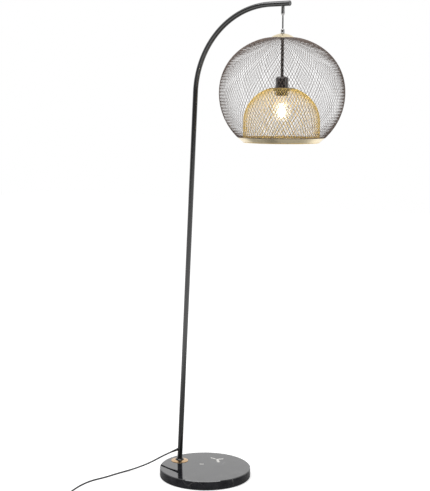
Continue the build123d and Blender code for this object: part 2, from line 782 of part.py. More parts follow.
def switch_button():
    """Press button with a soft crown, and a collar that stops it under the cover."""
    stem = extrude(SlotOverall(BUTTON_LENGTH, BUTTON_WIDTH), SWITCH_HEIGHT - BUTTON_FOOT)
    stem = fillet(stem.edges().group_by(Axis.Z)[-1], 2.0)
    collar = extrude(SlotOverall(BUTTON_LENGTH + 4, BUTTON_WIDTH + 4), 1.5)
    collar_foot = COVER_TOP - SWITCH_WALL - 0.3 - 1.5
    return at_switch(BUTTON_FOOT) * stem + at_switch(collar_foot) * collar


def switch_contacts():
    """Contact block on the switch's floor, under the button."""
    return at_switch(SWITCH_WALL + 2.5) * Box(26, 14, 5)


PLUG_LENGTH = 45.0
PIN_RADIUS = 2.0
PIN_LENGTH = 19.0
PIN_SPACING = 19.0
PIN_ROOT = 6.0
PIN_ROOT_RADIUS = 1.6


def plug_body():
    """Flat two-pin plug: a hexagonal body, a taper to the cord and a ribbed grip."""
    rear = Vector(*PLUG_REAR)
    side = [(0, 4.2), (12, 5.2), (22, 12.8), (PLUG_LENGTH, 17.6)]
    outline = Polyline(*side, *[(x, -y) for x, y in reversed(side)], close=True)
    body = Pos(rear.X, rear.Y, 0.6) * extrude(make_face(outline), 13.8)
    body = chamfer(body.edges().group_by(Axis.Z)[0] + body.edges().group_by(Axis.Z)[-1], 2.4)
    body -= Pos(rear) * Rot(0, 90, 0) * Cylinder(CORD_RADIUS + FIT, 2 * INSIDE.X)
    return body - [place * Cylinder(PIN_ROOT_RADIUS + FIT, 2 * PIN_ROOT) for place in pin_places()]


def pin_places():
    """Where each pin leaves the plug's face, with +Z along the pin."""
    rear = Vector(*PLUG_REAR)
    return [
        Pos(rear.X + PLUG_LENGTH, rear.Y + side * PIN_SPACING / 2, rear.Z) * Rot(0, 90, 0)
        for side in (-1, 1)
    ]


def plug_pins():
    """Two pins: a thinner root held in the plug, a straight shaft and a rounded end."""
    pin = turned(
        (0, -PIN_ROOT),
        (PIN_ROOT_RADIUS, -PIN_ROOT),
        (PIN_ROOT_RADIUS, 0),
        (PIN_RADIUS, 0),
        (PIN_RADIUS, PIN_LENGTH - 1.4),
        (PIN_RADIUS - 0.7, PIN_LENGTH - 0.2),
        (0, PIN_LENGTH),
    )
    return Compound([place * pin for place in pin_places()])


# ---- every node ----

NODES = {
    "base_disc": base_disc,
    "base_pad": base_pad,
    "foot_washer": foot_washer,
    "foot_bolt": foot_bolt,
    "foot_insert": foot_insert,
    "rosette": rosette,
    "foot_ring": foot_ring,
    "pole_lower": pole_lower,
    "pole_middle": lambda: pole_tube(JOINT_HEIGHTS[0], JOINT_HEIGHTS[1]),
    "pole_upper": lambda: pole_tube(JOINT_HEIGHTS[1], JOINT_HEIGHTS[2]),
    "tube_couplers": tube_couplers,
    "arm": arm,
    "arm_end_cap": arm_end_cap,
    "exit_grommet": exit_grommet,
    "inner_cord": inner_cord,
    "upper_cord_grip": upper_cord_grip,
    "grip_nut": grip_nut,
    "drop_cord": drop_cord,
    "lower_cord_grip": lower_cord_grip,
    "top_cap": top_cap,
    "clamp_plate": clamp_plate,
    "clamp_nut": clamp_nut,
    "hanging_pipe": hanging_pipe,
    "pipe_lead": pipe_lead,
    "outer_cage": outer_cage,
    "inner_cage": inner_cage,
    "bottom_ring": bottom_ring,
    "dome_plate": dome_plate,
    "holder_cap": holder_cap,
    "holder_body": holder_body,
    "shade_ring": shade_ring,
    "contact_block": contact_block,
    "screw_shell": screw_shell,
    "centre_contact": centre_contact,
    "bulb_cap": bulb_cap,
    "bulb_tip": bulb_tip,
    "bulb_glass": bulb_glass,
    "mains_cord": mains_cord,
    "cord_to_coil": cord_to_coil,
    "cord_coil": cord_coil,
    "cord_to_plug": cord_to_plug,
    "switch_base": switch_base,
    "switch_cover": switch_cover,
    "switch_button": switch_button,
    "switch_contacts": switch_contacts,
    "plug_body": plug_body,
    "plug_pins": plug_pins,
}

os.makedirs("parts", exist_ok=True)
for node, make in NODES.items():
    export_step(make(), f"parts/{node}.step")
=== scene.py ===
"""Arc floor lamp with a double wire mesh shade: the looks, in metres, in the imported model's frame."""

import json
from math import acos, asin, cos, hypot, pi, radians, sin

import bmesh
import bpy
from mathutils import Matrix, Vector


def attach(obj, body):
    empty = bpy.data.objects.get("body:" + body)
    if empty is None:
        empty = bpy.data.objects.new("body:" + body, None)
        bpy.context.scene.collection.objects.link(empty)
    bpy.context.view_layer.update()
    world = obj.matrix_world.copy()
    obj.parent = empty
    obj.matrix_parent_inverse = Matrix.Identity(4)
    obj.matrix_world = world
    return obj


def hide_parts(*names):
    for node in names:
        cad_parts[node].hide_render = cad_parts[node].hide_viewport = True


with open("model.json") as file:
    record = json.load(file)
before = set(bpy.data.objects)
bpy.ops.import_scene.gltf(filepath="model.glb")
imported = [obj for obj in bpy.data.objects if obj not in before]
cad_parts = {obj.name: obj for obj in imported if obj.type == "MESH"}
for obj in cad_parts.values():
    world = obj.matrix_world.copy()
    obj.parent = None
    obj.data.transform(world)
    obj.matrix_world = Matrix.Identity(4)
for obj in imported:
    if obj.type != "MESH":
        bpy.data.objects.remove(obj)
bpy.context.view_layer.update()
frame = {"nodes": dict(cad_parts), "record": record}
nodes = frame["nodes"]

MM = 0.001

# ---- camera ----

CAMERA_PLACE = (2.0841, -2.9654, 1.2414)
CAMERA_AZIMUTH = radians(35.1)
CAMERA_PITCH = radians(5.674)
CAMERA_ROLL = radians(-0.376)
LENS = 80.755
SENSOR_WIDTH = 36
SHIFT = (0.01675, -0.0596)
NEAR_AND_FAR = (0.05, 60)


def add_camera():
    """Camera at the photograph's viewpoint."""
    level = Vector((cos(CAMERA_AZIMUTH), sin(CAMERA_AZIMUTH), 0))
    flat = cos(CAMERA_PITCH)
    ahead = Vector((-sin(CAMERA_AZIMUTH) * flat, cos(CAMERA_AZIMUTH) * flat, -sin(CAMERA_PITCH)))
    upright = level.cross(ahead)
    right = level * cos(CAMERA_ROLL) - upright * sin(CAMERA_ROLL)
    up = level * sin(CAMERA_ROLL) + upright * cos(CAMERA_ROLL)
    data = bpy.data.cameras.new("camera")
    data.lens, data.sensor_width, data.sensor_fit = LENS, SENSOR_WIDTH, "AUTO"
    data.shift_x, data.shift_y = SHIFT
    data.clip_start, data.clip_end = NEAR_AND_FAR
    camera = bpy.data.objects.new("camera", data)
    turned = Matrix((right, up, -ahead)).transposed().to_4x4()
    camera.matrix_world = Matrix.Translation(CAMERA_PLACE) @ turned
    bpy.context.scene.collection.objects.link(camera)
    bpy.context.scene.camera = camera


add_camera()

# ---- sizes in millimetres, the part's own but for the outer mesh and the disc's edge ----

SHADE_X = 283.6
CAGE_RADIUS = 196.4
CAGE_CENTRE = 1285.0
CAGE_CROWN = 175.8
CAGE_SQUARENESS = 2.1
CAGE_DRAW_IN = 1.019
CAGE_SEAT = 1456.0
CAGE_BOTTOM = 1147.5
CAGE_TOP_RADIUS = 36.5
DOME_RADIUS = 119.5
DOME_SPRING = 1197.0
DOME_CROWN = 112.0
DOME_BOTTOM = 1131.5
DOME_TOP = 1300.0
DOME_TOP_RADIUS = 39.0
DISC_TOP = 1469.5
DISC_EDGE = 1456.6
FLANGE_BOTTOM = 1301.2
HOLDER_TOP = 1337.0
BULB_BOTTOM = 1200.0
BASE_TOP = 31.0
FOOT_X = -107.0
CORD_DIAMETER = 5.0
SWING_Z = 1521.7
TILT_Z = 1485.8
DROP_DIAMETER = 4.8

# ---- material tools ----

MARK_HEIGHT_SHARE = 1.7
RELIEF_DEPTH = 0.0003
MARK_SHADE = 0.6


class Nodes:
    """Small helper that adds shader nodes to a tree and links them."""

    def __init__(self, tree):
        self.tree = tree

    def add(self, kind, settings=None, **inputs):
        node = self.tree.nodes.new(kind)
        for name, value in (settings or {}).items():
            setattr(node, name, value)
        for name, value in inputs.items():
            self.put(node.inputs[name.replace("_", " ")], value)
        return node

    def put(self, socket, value):
        if isinstance(value, bpy.types.NodeSocket):
            self.tree.links.new(value, socket)
        else:
            socket.default_value = value

    def math(self, operation, first, second=0.0, clamp=False):
        node = self.tree.nodes.new("ShaderNodeMath")
        node.operation, node.use_clamp = operation, clamp
        self.put(node.inputs[0], first)
        self.put(node.inputs[1], second)
        return node.outputs[0]

    def distance(self, first, second):
        squares = self.math("ADD", self.math("MULTIPLY", first, first), self.math("MULTIPLY", second, second))
        return self.math("SQRT", squares)

    def noise(self, vector, scale, detail, **more):
        return self.add("ShaderNodeTexNoise", Vector=vector, Scale=scale, Detail=detail, **more).outputs

    def mix(self, factor, first, second):
        node = self.tree.nodes.new("ShaderNodeMix")
        node.data_type = "RGBA"
        self.put(node.inputs[0], factor)
        self.put(node.inputs[6], first)
        self.put(node.inputs[7], second)
        return node.outputs[2]

    def spread(self, value, low, high, to_low=0.0, to_high=1.0):
        node = self.tree.nodes.new("ShaderNodeMapRange")
        for socket, number in zip(node.inputs, (value, low, high, to_low, to_high)):
            self.put(socket, number)
        return node.outputs[0]


def effect(name, inputs, outputs):
    """Empty node group with float or colour inputs (name, default) and outputs (name, kind)."""
    group = bpy.data.node_groups.new(name, "ShaderNodeTree")
    for label, default in inputs:
        kind = "NodeSocketColor" if isinstance(default, tuple) else "NodeSocketFloat"
        socket = group.interface.new_socket(name=label, in_out="INPUT", socket_type=kind)
        socket.default_value = default
    for label, kind in outputs:
        group.interface.new_socket(name=label, in_out="OUTPUT", socket_type=kind)
    tools = Nodes(group)
    return group, tools, tools.add("NodeGroupInput").outputs, tools.add("NodeGroupOutput").inputs


def surface_unevenness():
    """Fine speckle and slow cloudiness that vary a finish's colour, roughness and height."""
    group, tools, given, out = effect(
        "surface_unevenness",
        [("Colour", (0.5, 0.5, 0.5, 1)), ("Colour spread", 0.1), ("Roughness", 0.4),
         ("Roughness spread", 0.08), ("Grain size", 0.0006), ("Cloud size", 0.05)],
        [("Colour", "NodeSocketColor"), ("Roughness", "NodeSocketFloat"), ("Height", "NodeSocketFloat")],
    )
    place = tools.add("ShaderNodeTexCoord").outputs["Object"]
    grain = tools.noise(place, tools.math("DIVIDE", 1.0, given["Grain size"]), 2.0)[0]
    cloud = tools.noise(place, tools.math("DIVIDE", 1.0, given["Cloud size"]), 3.0)[0]
    both = tools.math("SUBTRACT", tools.math("ADD", grain, cloud), 1.0)
    shift = tools.math("ADD", 1.0, tools.math("MULTIPLY", both, given["Colour spread"]))
    scaled = tools.add("ShaderNodeVectorMath", {"operation": "SCALE"}, Scale=shift)
    tools.put(scaled.inputs[0], given["Colour"])
    tools.put(out["Colour"], scaled.outputs[0])
    rough = tools.math("ADD", given["Roughness"], tools.math("MULTIPLY", both, given["Roughness spread"]))
    tools.put(out["Roughness"], rough)
    tools.put(out["Height"], grain)
    return group


def turning_marks():
    """Fine rings left by spinning sheet metal about an upright axis, as a 0 to 1 mask."""
    group, tools, given, out = effect(
        "turning_marks", [("Axis X", 0.0), ("Spacing", 0.0008)], [("Marks", "NodeSocketFloat")]
    )
    place = tools.add("ShaderNodeTexCoord").outputs["Object"]
    parts = tools.add("ShaderNodeSeparateXYZ", Vector=place).outputs
    across = tools.math("SUBTRACT", parts[0], given["Axis X"])
    radius = tools.distance(across, parts[1])
    along = tools.math("ADD", radius, tools.math("MULTIPLY", parts[2], MARK_HEIGHT_SHARE))
    line = tools.add("ShaderNodeCombineXYZ", X=tools.math("DIVIDE", along, given["Spacing"]))
    tools.put(out["Marks"], tools.noise(line.outputs[0], 1.0, 2.0)[0])
    return group


UNEVENNESS = surface_unevenness()
TURNING = turning_marks()


def start_material(name):
    """New node material; returns it with its tools and its main shader."""
    material = bpy.data.materials.new(name)
    material.use_nodes = True
    tools = Nodes(material.node_tree)
    return material, tools, material.node_tree.nodes["Principled BSDF"]


def place_group(tools, group, **values):
    node = tools.add("ShaderNodeGroup", {"node_tree": group})
    for name, value in values.items():
        tools.put(node.inputs[name.replace("_", " ")], value)
    return node.outputs


def finish_surface(
    name, colour, roughness, metallic=0.0, spread=0.15, rough_spread=0.08, grain=0.0006, cloud=0.05,
    bump=0.05, ior=1.5, coat=0.0, coat_roughness=0.1, axis=None, spacing=0.0008, mark_depth=0.1,
):
    """Even finish with speckle, slow variation, slight relief and, on spun metal, turning marks."""
    material, tools, shader = start_material(name)
    uneven = place_group(
        tools, UNEVENNESS, Colour=(*colour, 1), Colour_spread=spread, Roughness=roughness,
        Roughness_spread=rough_spread, Grain_size=grain, Cloud_size=cloud,
    )
    height, strength = uneven["Height"], bump
    tint, rough = uneven["Colour"], uneven["Roughness"]
    if axis is not None:
        marks = place_group(tools, TURNING, Axis_X=axis, Spacing=spacing)["Marks"]
        height, strength = marks, mark_depth
        rough = tools.math("ADD", rough, tools.spread(marks, 0.3, 0.7, -0.05, 0.08))
        darker = (*[level * MARK_SHADE for level in colour], 1)
        tint = tools.mix(tools.spread(marks, 0.35, 0.65, 0.0, 0.12), tint, darker)
    relief = tools.add("ShaderNodeBump", Strength=strength, Distance=RELIEF_DEPTH, Height=height)
    tools.put(shader.inputs["Base Color"], tint)
    tools.put(shader.inputs["Roughness"], rough)
    tools.put(shader.inputs["Normal"], relief.outputs[0])
    shader.inputs["Metallic"].default_value = metallic
    shader.inputs["IOR"].default_value = ior
    shader.inputs["Coat Weight"].default_value = coat
    shader.inputs["Coat Roughness"].default_value = coat_roughness
    return material


# ---- finishes ----

BRASS_COLOUR = (0.80, 0.69, 0.47)
STONE_BLACK = (0.006, 0.006, 0.008, 1)
STONE_CLOUD = (0.030, 0.030, 0.034, 1)
VEIN_GREY = (0.32, 0.31, 0.29, 1)
# white of the painted glint, a lamp's reflection painted on the stone's top
PAINTED_GLINT_WHITE = (0.80, 0.78, 0.74, 1)
STONE_IOR = 1.62
STONE_TOP = (0.0300, 0.0305)
# start, end and half width of each stroke of the painted glint, a lamp's reflection painted white, in metres
# on the stone's top
GLINT_ARMS = (
    ((-0.035, 0.086), (-0.009, 0.086), 0.0028),
    ((-0.009, 0.086), (0.002, 0.101), 0.0034),
    ((-0.009, 0.086), (0.009, 0.066), 0.0036),
    ((-0.028, 0.009), (-0.020, 0.015), 0.0026),
)


def marble(name, gloss, specular, coat):
    """Black marble: cloudy black body, hair-thin grey veins and one painted glint, a lamp's reflection
    painted white on the top.
    """
    material, tools, shader = start_material(name)
    place = tools.add("ShaderNodeTexCoord").outputs["Object"]
    cloud = tools.noise(place, 28.0, 6.0, Roughness=0.65)[0]
    body = tools.mix(tools.spread(cloud, 0.35, 0.7), STONE_BLACK, STONE_CLOUD)
    warp = tools.noise(place, 9.0, 3.0)[1]
    bent = tools.add("ShaderNodeVectorMath", {"operation": "SCALE"}, Scale=0.10)
    tools.put(bent.inputs[0], warp)
    moved = tools.add("ShaderNodeVectorMath", {"operation": "ADD"})
    tools.put(moved.inputs[0], place)
    tools.put(moved.inputs[1], bent.outputs[0])
    cells = tools.add(
        "ShaderNodeTexVoronoi", {"feature": "DISTANCE_TO_EDGE"}, Vector=moved.outputs[0], Scale=11.0
    ).outputs[0]
    thin = tools.noise(place, 17.0, 2.0)[0]
    hairline = tools.spread(cells, 0.0, 0.012, 1.0, 0.0)
    veins = tools.math("MULTIPLY", hairline, tools.spread(thin, 0.52, 0.68, 0.0, 0.35))
    tint = tools.mix(veins, body, VEIN_GREY)
    # painted glint: a lamp's reflection painted white on the stone's top
    glint_mask = painted_glint_mask(tools, place)
    tint = tools.mix(glint_mask, tint, PAINTED_GLINT_WHITE)
    tools.put(shader.inputs["Base Color"], tint)
    tools.put(shader.inputs["Roughness"], tools.spread(cloud, 0.3, 0.7, *gloss))
    relief = tools.add("ShaderNodeBump", Strength=0.04, Distance=0.0004, Height=cloud)
    tools.put(shader.inputs["Normal"], relief.outputs[0])
    shader.inputs["IOR"].default_value = STONE_IOR
    shader.inputs["Specular IOR Level"].default_value = specular
    shader.inputs["Coat Weight"].default_value = coat
    shader.inputs["Coat Roughness"].default_value = 0.04
    return material


def painted_glint_mask(tools, place):
    """Mask of the painted glint on the stone's top: a lamp's reflection painted as a white three-armed mark,
    with a dot beside it.
    """
    wobble = tools.noise(place, 150.0, 3.0)[0]
    parts = tools.add("ShaderNodeSeparateXYZ", Vector=place).outputs
    mask = None
    for start, end, width in GLINT_ARMS:
        run = (end[0] - start[0], end[1] - start[1])
        across = tools.math("SUBTRACT", parts[0], start[0])
        along = tools.math("SUBTRACT", parts[1], start[1])
        dot = tools.math(
            "ADD", tools.math("MULTIPLY", across, run[0]), tools.math("MULTIPLY", along, run[1])
        )
        share = tools.math("DIVIDE", dot, run[0] ** 2 + run[1] ** 2, clamp=True)
        off_x = tools.math("SUBTRACT", across, tools.math("MULTIPLY", share, run[0]))
        off_y = tools.math("SUBTRACT", along, tools.math("MULTIPLY", share, run[1]))
        reach = tools.distance(off_x, off_y)
        ragged = tools.math("ADD", reach, tools.spread(wobble, 0.3, 0.7, -0.0022, 0.0022))
        arm = tools.spread(ragged, width * 0.5, width * 1.4, 1.0, 0.0)
        mask = arm if mask is None else tools.math("MAXIMUM", mask, arm)
    top_only = tools.spread(parts[2], *STONE_TOP)
    return tools.math("MULTIPLY", mask, top_only)


GLASS_GLOW = 0.35


def lit_glass():
    """Thin frosted glass that glows warm white and lets the hot core show."""
    material, tools, shader = start_material("lit_glass")
    place = tools.add("ShaderNodeTexCoord").outputs["Object"]
    height = tools.add("ShaderNodeSeparateXYZ", Vector=place).outputs[2]
    frost = tools.noise(place, 900.0, 2.0)[0]
    warm = tools.spread(height, 1.235, 1.275)
    glow = tools.mix(warm, (1.0, 0.80, 0.50, 1), (1.0, 0.72, 0.42, 1))
    tools.put(shader.inputs["Emission Color"], glow)
    shader.inputs["Emission Strength"].default_value = GLASS_GLOW
    clouded = tools.mix(frost, (0.95, 0.92, 0.86, 1), (0.88, 0.85, 0.80, 1))
    tools.put(shader.inputs["Base Color"], clouded)
    tools.put(shader.inputs["Alpha"], tools.spread(frost, 0.3, 0.7, 0.20, 0.30))
    shader.inputs["Roughness"].default_value = 0.35
    return material


def glowing(name, colour, edge_colour, strength, alpha):
    """Light source inside the bulb, a little uneven, as hot as its strength says."""
    material, tools, shader = start_material(name)
    place = tools.add("ShaderNodeTexCoord").outputs["Object"]
    haze = tools.noise(place, 120.0, 2.0)[0]
    tools.put(shader.inputs["Emission Color"], tools.mix(haze, (*colour, 1), (*edge_colour, 1)))
    tools.put(shader.inputs["Base Color"], tools.mix(haze, (0.9, 0.88, 0.8, 1), (0.85, 0.8, 0.7, 1)))
    tools.put(shader.inputs["Alpha"], tools.spread(haze, 0.3, 0.7, alpha, min(1.0, alpha * 1.25)))
    shader.inputs["Emission Strength"].default_value = strength
    return material


AXIS = SHADE_X * MM
FOOT_AXIS = FOOT_X * MM
materials = {
    "stone_black": marble("polished_stone", (0.03, 0.08), 0.5, 0.35),
    "pad_rubber": finish_surface("foam_rubber", (0.03, 0.03, 0.03), 0.85, bump=0.5, grain=0.0009),
    "black_paint": finish_surface(
        "satin_black_paint", (0.007, 0.007, 0.007), 0.24, spread=0.4, rough_spread=0.05, grain=0.0005,
        bump=0.06, coat=0.8, coat_roughness=0.12,
    ),
    "black_wire": finish_surface(
        "dark_bronze_wire", (0.115, 0.084, 0.070), 0.42, spread=0.5, grain=0.004, bump=0.1, ior=1.45
    ),
    "black_ring": finish_surface("gloss_black_ferrule", (0.010, 0.010, 0.010), 0.16, bump=0.03),
    "brass": finish_surface(
        "spun_brass", BRASS_COLOUR, 0.27, 1.0, spread=0.10, cloud=0.03, axis=AXIS, mark_depth=0.12
    ),
    "steel": finish_surface("zinc_plated_steel", (0.55, 0.55, 0.56), 0.36, 1.0, spread=0.2, bump=0.1),
    "grip_metal": finish_surface(
        "nickel_plate", (0.36, 0.355, 0.35), 0.24, 1.0, spread=0.08, axis=AXIS, spacing=0.0005,
        mark_depth=0.06,
    ),
    "cord_black": finish_surface("cord_sheath", (0.016, 0.016, 0.017), 0.50, bump=0.25, grain=0.0004),
    "holder_black": finish_surface(
        "moulded_black_resin", (0.022, 0.019, 0.019), 0.20, spread=0.3, bump=0.04, coat=0.6
    ),
    "switch_black": finish_surface("fine_matt_black", (0.020, 0.020, 0.021), 0.55, bump=0.4, grain=0.0005),
    "contact_brass": finish_surface("brass_strip", (0.78, 0.62, 0.33), 0.35, 1.0, spread=0.15, bump=0.1),
    "bulb_metal": finish_surface("rolled_aluminium", (0.75, 0.75, 0.74), 0.25, 1.0, spread=0.1, bump=0.05),
    "bulb_white": lit_glass(),
}
brass_wire = finish_surface("brass_wire", (1.0, 0.71, 0.22), 0.38, 0.6, spread=0.3, grain=0.003, bump=0.08)
spun_foot = finish_surface(
    "spun_foot_brass", (0.66, 0.44, 0.24), 0.24, 1.0, spread=0.08, axis=FOOT_AXIS, spacing=0.0007,
    mark_depth=0.1,
)
drop_sheath = finish_surface("grey_drop_sheath", (0.11, 0.11, 0.11), 0.45, bump=0.2, grain=0.0004)
matt_tie = finish_surface("matt_tie", (0.05, 0.05, 0.05), 0.6, bump=0.4)


def dress(obj, slot_name, material=None):
    """Gives a piece its finish, looked up by the record's slot name unless a material is given."""
    obj.data.materials.clear()
    obj.data.materials.append(material or materials[slot_name])


for row in frame["record"]["subparts"]:
    dress(nodes[row["node"]], row["material_slot"])
dress(nodes["rosette"], "brass", spun_foot)


UPRIGHT_SLOPE = 0.3
EDGE_REACH = 0.15


def honed_edge():
    """The stone's upright edge is less polished than its top and bevels."""
    stone = nodes["base_disc"].data
    stone.materials.append(marble("honed_stone_edge", (0.22, 0.34), 0.15, 0.0))
    for face in stone.polygons:
        outside = hypot(face.center.x, face.center.y) > EDGE_REACH
        if outside and abs(face.normal.z) < UPRIGHT_SLOPE:
            face.material_index = 1


honed_edge()

# ---- mesh tools ----


def new_piece(name, mesh, body, slot_name, stands_for=(), material=None):
    """Adds a finished piece that rides a body and replaces the nodes that it stands for."""
    obj = bpy.data.objects.new(name, mesh)
    bpy.context.scene.collection.objects.link(obj)
    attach(obj, body)
    if stands_for:
        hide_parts(*stands_for)
    dress(obj, slot_name, material)
    return obj


def mesh_from(name, corners, faces):
    """Smooth-shaded mesh from corners in millimetres."""
    mesh = bpy.data.meshes.new(name)
    mesh.from_pydata([tuple(c * MM for c in corner) for corner in corners], [], faces)
    mesh.shade_smooth()
    mesh.update()
    return mesh


def lathe(name, outline, axis_x, steps=96, crease=32):
    """Closed outline of (radius, height) in millimetres, turned about an upright axis."""
    form = bmesh.new()
    rings = []
    for radius, height in outline:
        if radius == 0:
            rings.append([form.verts.new((axis_x * MM, 0, height * MM))] * steps)
            continue
        ring = []
        for step in range(steps):
            angle = 2 * pi * step / steps
            place = ((axis_x + radius * cos(angle)) * MM, radius * sin(angle) * MM, height * MM)
            ring.append(form.verts.new(place))
        rings.append(ring)
    for lower, upper in zip(rings, rings[1:] + rings[:1]):
        for step in range(steps):
            after = (step + 1) % steps
            corners = [lower[step], lower[after], upper[after], upper[step]]
            corners = [c for place, c in enumerate(corners) if c not in corners[:place]]
            if len(corners) > 2:
                form.faces.new(corners)
    bmesh.ops.recalc_face_normals(form, faces=form.faces)
    mesh = bpy.data.meshes.new(name)
    form.to_mesh(mesh)
    form.free()
    mesh.shade_smooth()
    mesh.set_sharp_from_angle(angle=radians(crease))
    return mesh


def arc(centre, radius, start, end, steps):
    """Points on an arc of the outline's plane, between two angles in degrees."""
    angles = [radians(start + (end - start) * step / steps) for step in range(steps + 1)]
    return [(centre[0] + radius * cos(a), centre[1] + radius * sin(a)) for a in angles]


def ball_arc(rim, crown, steps, inward=0.0):
    """Points from the rim up to the crown on a ball centred on the axis."""
    centre = (rim[0] ** 2 - crown[0] ** 2 + rim[1] ** 2 - crown[1] ** 2) / (2 * (rim[1] - crown[1]))
    ball = hypot(rim[0], rim[1] - centre)
    low, high = acos(rim[0] / ball), acos(crown[0] / ball)
    return arc((0, centre), ball - inward, low * 180 / pi, high * 180 / pi, steps)


# ---- cords ----

CORD_ONE_ROUTE = [
    (-113.54, -7.40, 69.40), (-127.73, -19.73, 62.56), (-153, -41.5, 47.0), (-184, -68, 25.5),
    (-218.5, -99, 8.5), (-238, -131, 2.6), (-247, -171, 2.6), (-254, -222, 2.6), (-269, -268, 2.6),
    (-270, -318, 2.6), (-261, -366, 2.6), (-247, -410, 2.6), (-232, -440, 3.2), (-213, -452, 6),
    (-187, -452, 6),
]
SWITCH_TO_COIL = [(-119, -452, 6), (-99, -452, 6), (-78, -455, 3.6), (-58, -458, 2.5), (-45, -458, 2.5)]
COIL_TO_PLUG = [(-35, -458, 8), (-23, -458, 8), (-4, -464, 7.5), (16, -464, 7.5)]
COIL_X = -40.0
COIL_START_Y = -458.0
COIL_IN = [38.0, 35.2, 32.4, 29.6, 26.8, 24.0]
COIL_CLIMB = 21.2
COIL_OUT = [24.0, 26.8, 29.6, 32.4, 35.2]
COIL_FLOOR = 2.5
COIL_UPPER = 8.0
STEPS_PER_HALF_TURN = 8


def coil_route():
    """Control points of the coil's half turns: in on the floor, one climb, out again on top."""
    turns = [(r, COIL_FLOOR, COIL_FLOOR) for r in COIL_IN]
    turns += [(COIL_CLIMB, COIL_FLOOR, COIL_UPPER)] + [(r, COIL_UPPER, COIL_UPPER) for r in COIL_OUT]
    swell = 1 / (0.75 + 0.25 * cos(pi / STEPS_PER_HALF_TURN))
    points, foot, side = [], COIL_START_Y, 1
    for radius, low, high in turns:
        middle = foot + side * radius
        for step in range(STEPS_PER_HALF_TURN):
            share = (step + 0.5) / STEPS_PER_HALF_TURN
            angle = pi * share - pi / 2 * side
            reach = radius * swell
            height = low + (high - low) * share
            points.append((COIL_X + reach * cos(angle), middle + reach * sin(angle), height))
        foot, side = foot + 2 * side * radius, -side
    return points


def cord_curve(name, route, diameter, body, stands_for, end_share=1.0, material=None):
    """Round cord along a smooth spline whose control points are the route's, in millimetres.

    Each point's radius carries the cord's thickness, so that the curve's own bounds stay true."""
    data = bpy.data.curves.new(name, "CURVE")
    data.dimensions = "3D"
    data.bevel_depth = 1.0
    data.bevel_resolution = 5
    data.resolution_u = 10
    data.use_fill_caps = True
    line = data.splines.new("NURBS")
    line.points.add(len(route) - 1)
    for point, place in zip(line.points, route):
        point.co = (*[c * MM for c in place], 1)
        point.radius = diameter / 2 * MM
    for point in (line.points[0], line.points[-1]):
        point.radius *= end_share
    line.order_u = 3
    line.use_endpoint_u = True
    return new_piece(name, data, body, "cord_black", stands_for, material)


def spline_line(curve):
    """Points along a cord's own line, in metres."""
    depth, curve.data.bevel_depth = curve.data.bevel_depth, 0.0
    mesh = bpy.data.meshes.new_from_object(curve)
    curve.data.bevel_depth = depth
    line = [vertex.co.copy() for vertex in mesh.vertices]
    bpy.data.meshes.remove(mesh)
    return line


SLEEVE_END_RADIUS = 2.7
SLEEVE_STATION = 0.6
SLEEVE_SIDES = 20
RIB_DEPTH = 0.28
RIBBED_STRETCH = (0.12, 0.93)


def sleeve_stations(line, length):
    """(share of the length, place, direction) at close steps along a line's first stretch."""
    run, stations = 0.0, []
    for here, after in zip(line, line[1:]):
        gap = (after - here).length
        pieces = max(1, int(gap / (SLEEVE_STATION * MM)))
        for piece in range(pieces):
            reach = run + gap * piece / pieces
            if reach <= length * MM:
                place = here.lerp(after, piece / pieces)
                stations.append((reach / (length * MM), place, (after - here).normalized()))
        run += gap
    return stations


def tapered_sleeve(name, line, length, thick, ribs):
    """Strain relief: a ribbed taper that follows the first stretch of a cord's line."""
    stations = sleeve_stations(line, length)
    corners, faces, sides = [], [], SLEEVE_SIDES
    for share, place, ahead in stations:
        radius = thick + (SLEEVE_END_RADIUS - thick) * share
        if RIBBED_STRETCH[0] < share < RIBBED_STRETCH[1]:
            radius -= RIB_DEPTH * (0.5 + 0.5 * cos(2 * pi * ribs * share))
        across = ahead.cross(Vector((0, 0, 1))).normalized()
        above = across.cross(ahead)
        for side in range(sides):
            angle = 2 * pi * side / sides
            corners.append(place / MM + (across * cos(angle) + above * sin(angle)) * radius)
    for station in range(len(stations) - 1):
        for side in range(sides):
            a, b = station * sides + side, station * sides + (side + 1) % sides
            faces.append((a, b, b + sides, a + sides))
    faces += [tuple(reversed(range(sides))), tuple(range(len(corners) - sides, len(corners)))]
    return new_piece(name, mesh_from(name, corners, faces), "stand", "cord_black")


TIE_INNER, TIE_OUTER = 17.6, 41.4
TIE_LOW, TIE_HIGH = 0.15, 11.2
TIE_WIDTH = 4.0
TIE_SHEET = 0.7
TIE_STEPS = 48
TIE_SQUARED = (0.55, 0.45)


def signed_power(value, power):
    return abs(value) ** power * (1 if value > 0 else -1)


def coil_tie(name, angle):
    """Flat tie round the coil's turns, a squared loop at one place of the coil."""
    width, sheet = TIE_WIDTH, TIE_SHEET
    middle, tall = (TIE_INNER + TIE_OUTER) / 2, (TIE_LOW + TIE_HIGH) / 2
    loop = []
    for step in range(TIE_STEPS):
        turn = 2 * pi * step / TIE_STEPS
        across = (TIE_OUTER - TIE_INNER) / 2 * signed_power(cos(turn), TIE_SQUARED[0])
        above = (TIE_HIGH - TIE_LOW) / 2 * signed_power(sin(turn), TIE_SQUARED[1])
        loop.append((middle + across, tall + above))
    centre = Vector((COIL_X, COIL_START_Y + COIL_IN[0]))
    out = Vector((cos(angle), sin(angle)))
    side = Vector((-out.y, out.x))
    corners, faces = [], []
    for radius, height in loop:
        toward = Vector((middle - radius, tall - height)).normalized() * sheet
        for lift, along in ((0, -1), (0, 1), (1, 1), (1, -1)):
            reach, rise = radius + toward.x * lift, height + toward.y * lift
            place = centre + out * reach + side * along * width / 2
            corners.append((place.x, place.y, rise))
    count = len(loop)
    for step in range(count):
        for edge in range(4):
            a, b = step * 4 + edge, step * 4 + (edge + 1) % 4
            faces.append((a, b, (b + 4) % (4 * count), (a + 4) % (4 * count)))
    mesh = mesh_from(name, corners, faces)
    mesh.set_sharp_from_angle(angle=radians(40))
    return new_piece(name, mesh, "stand", "cord_black", (), matt_tie)


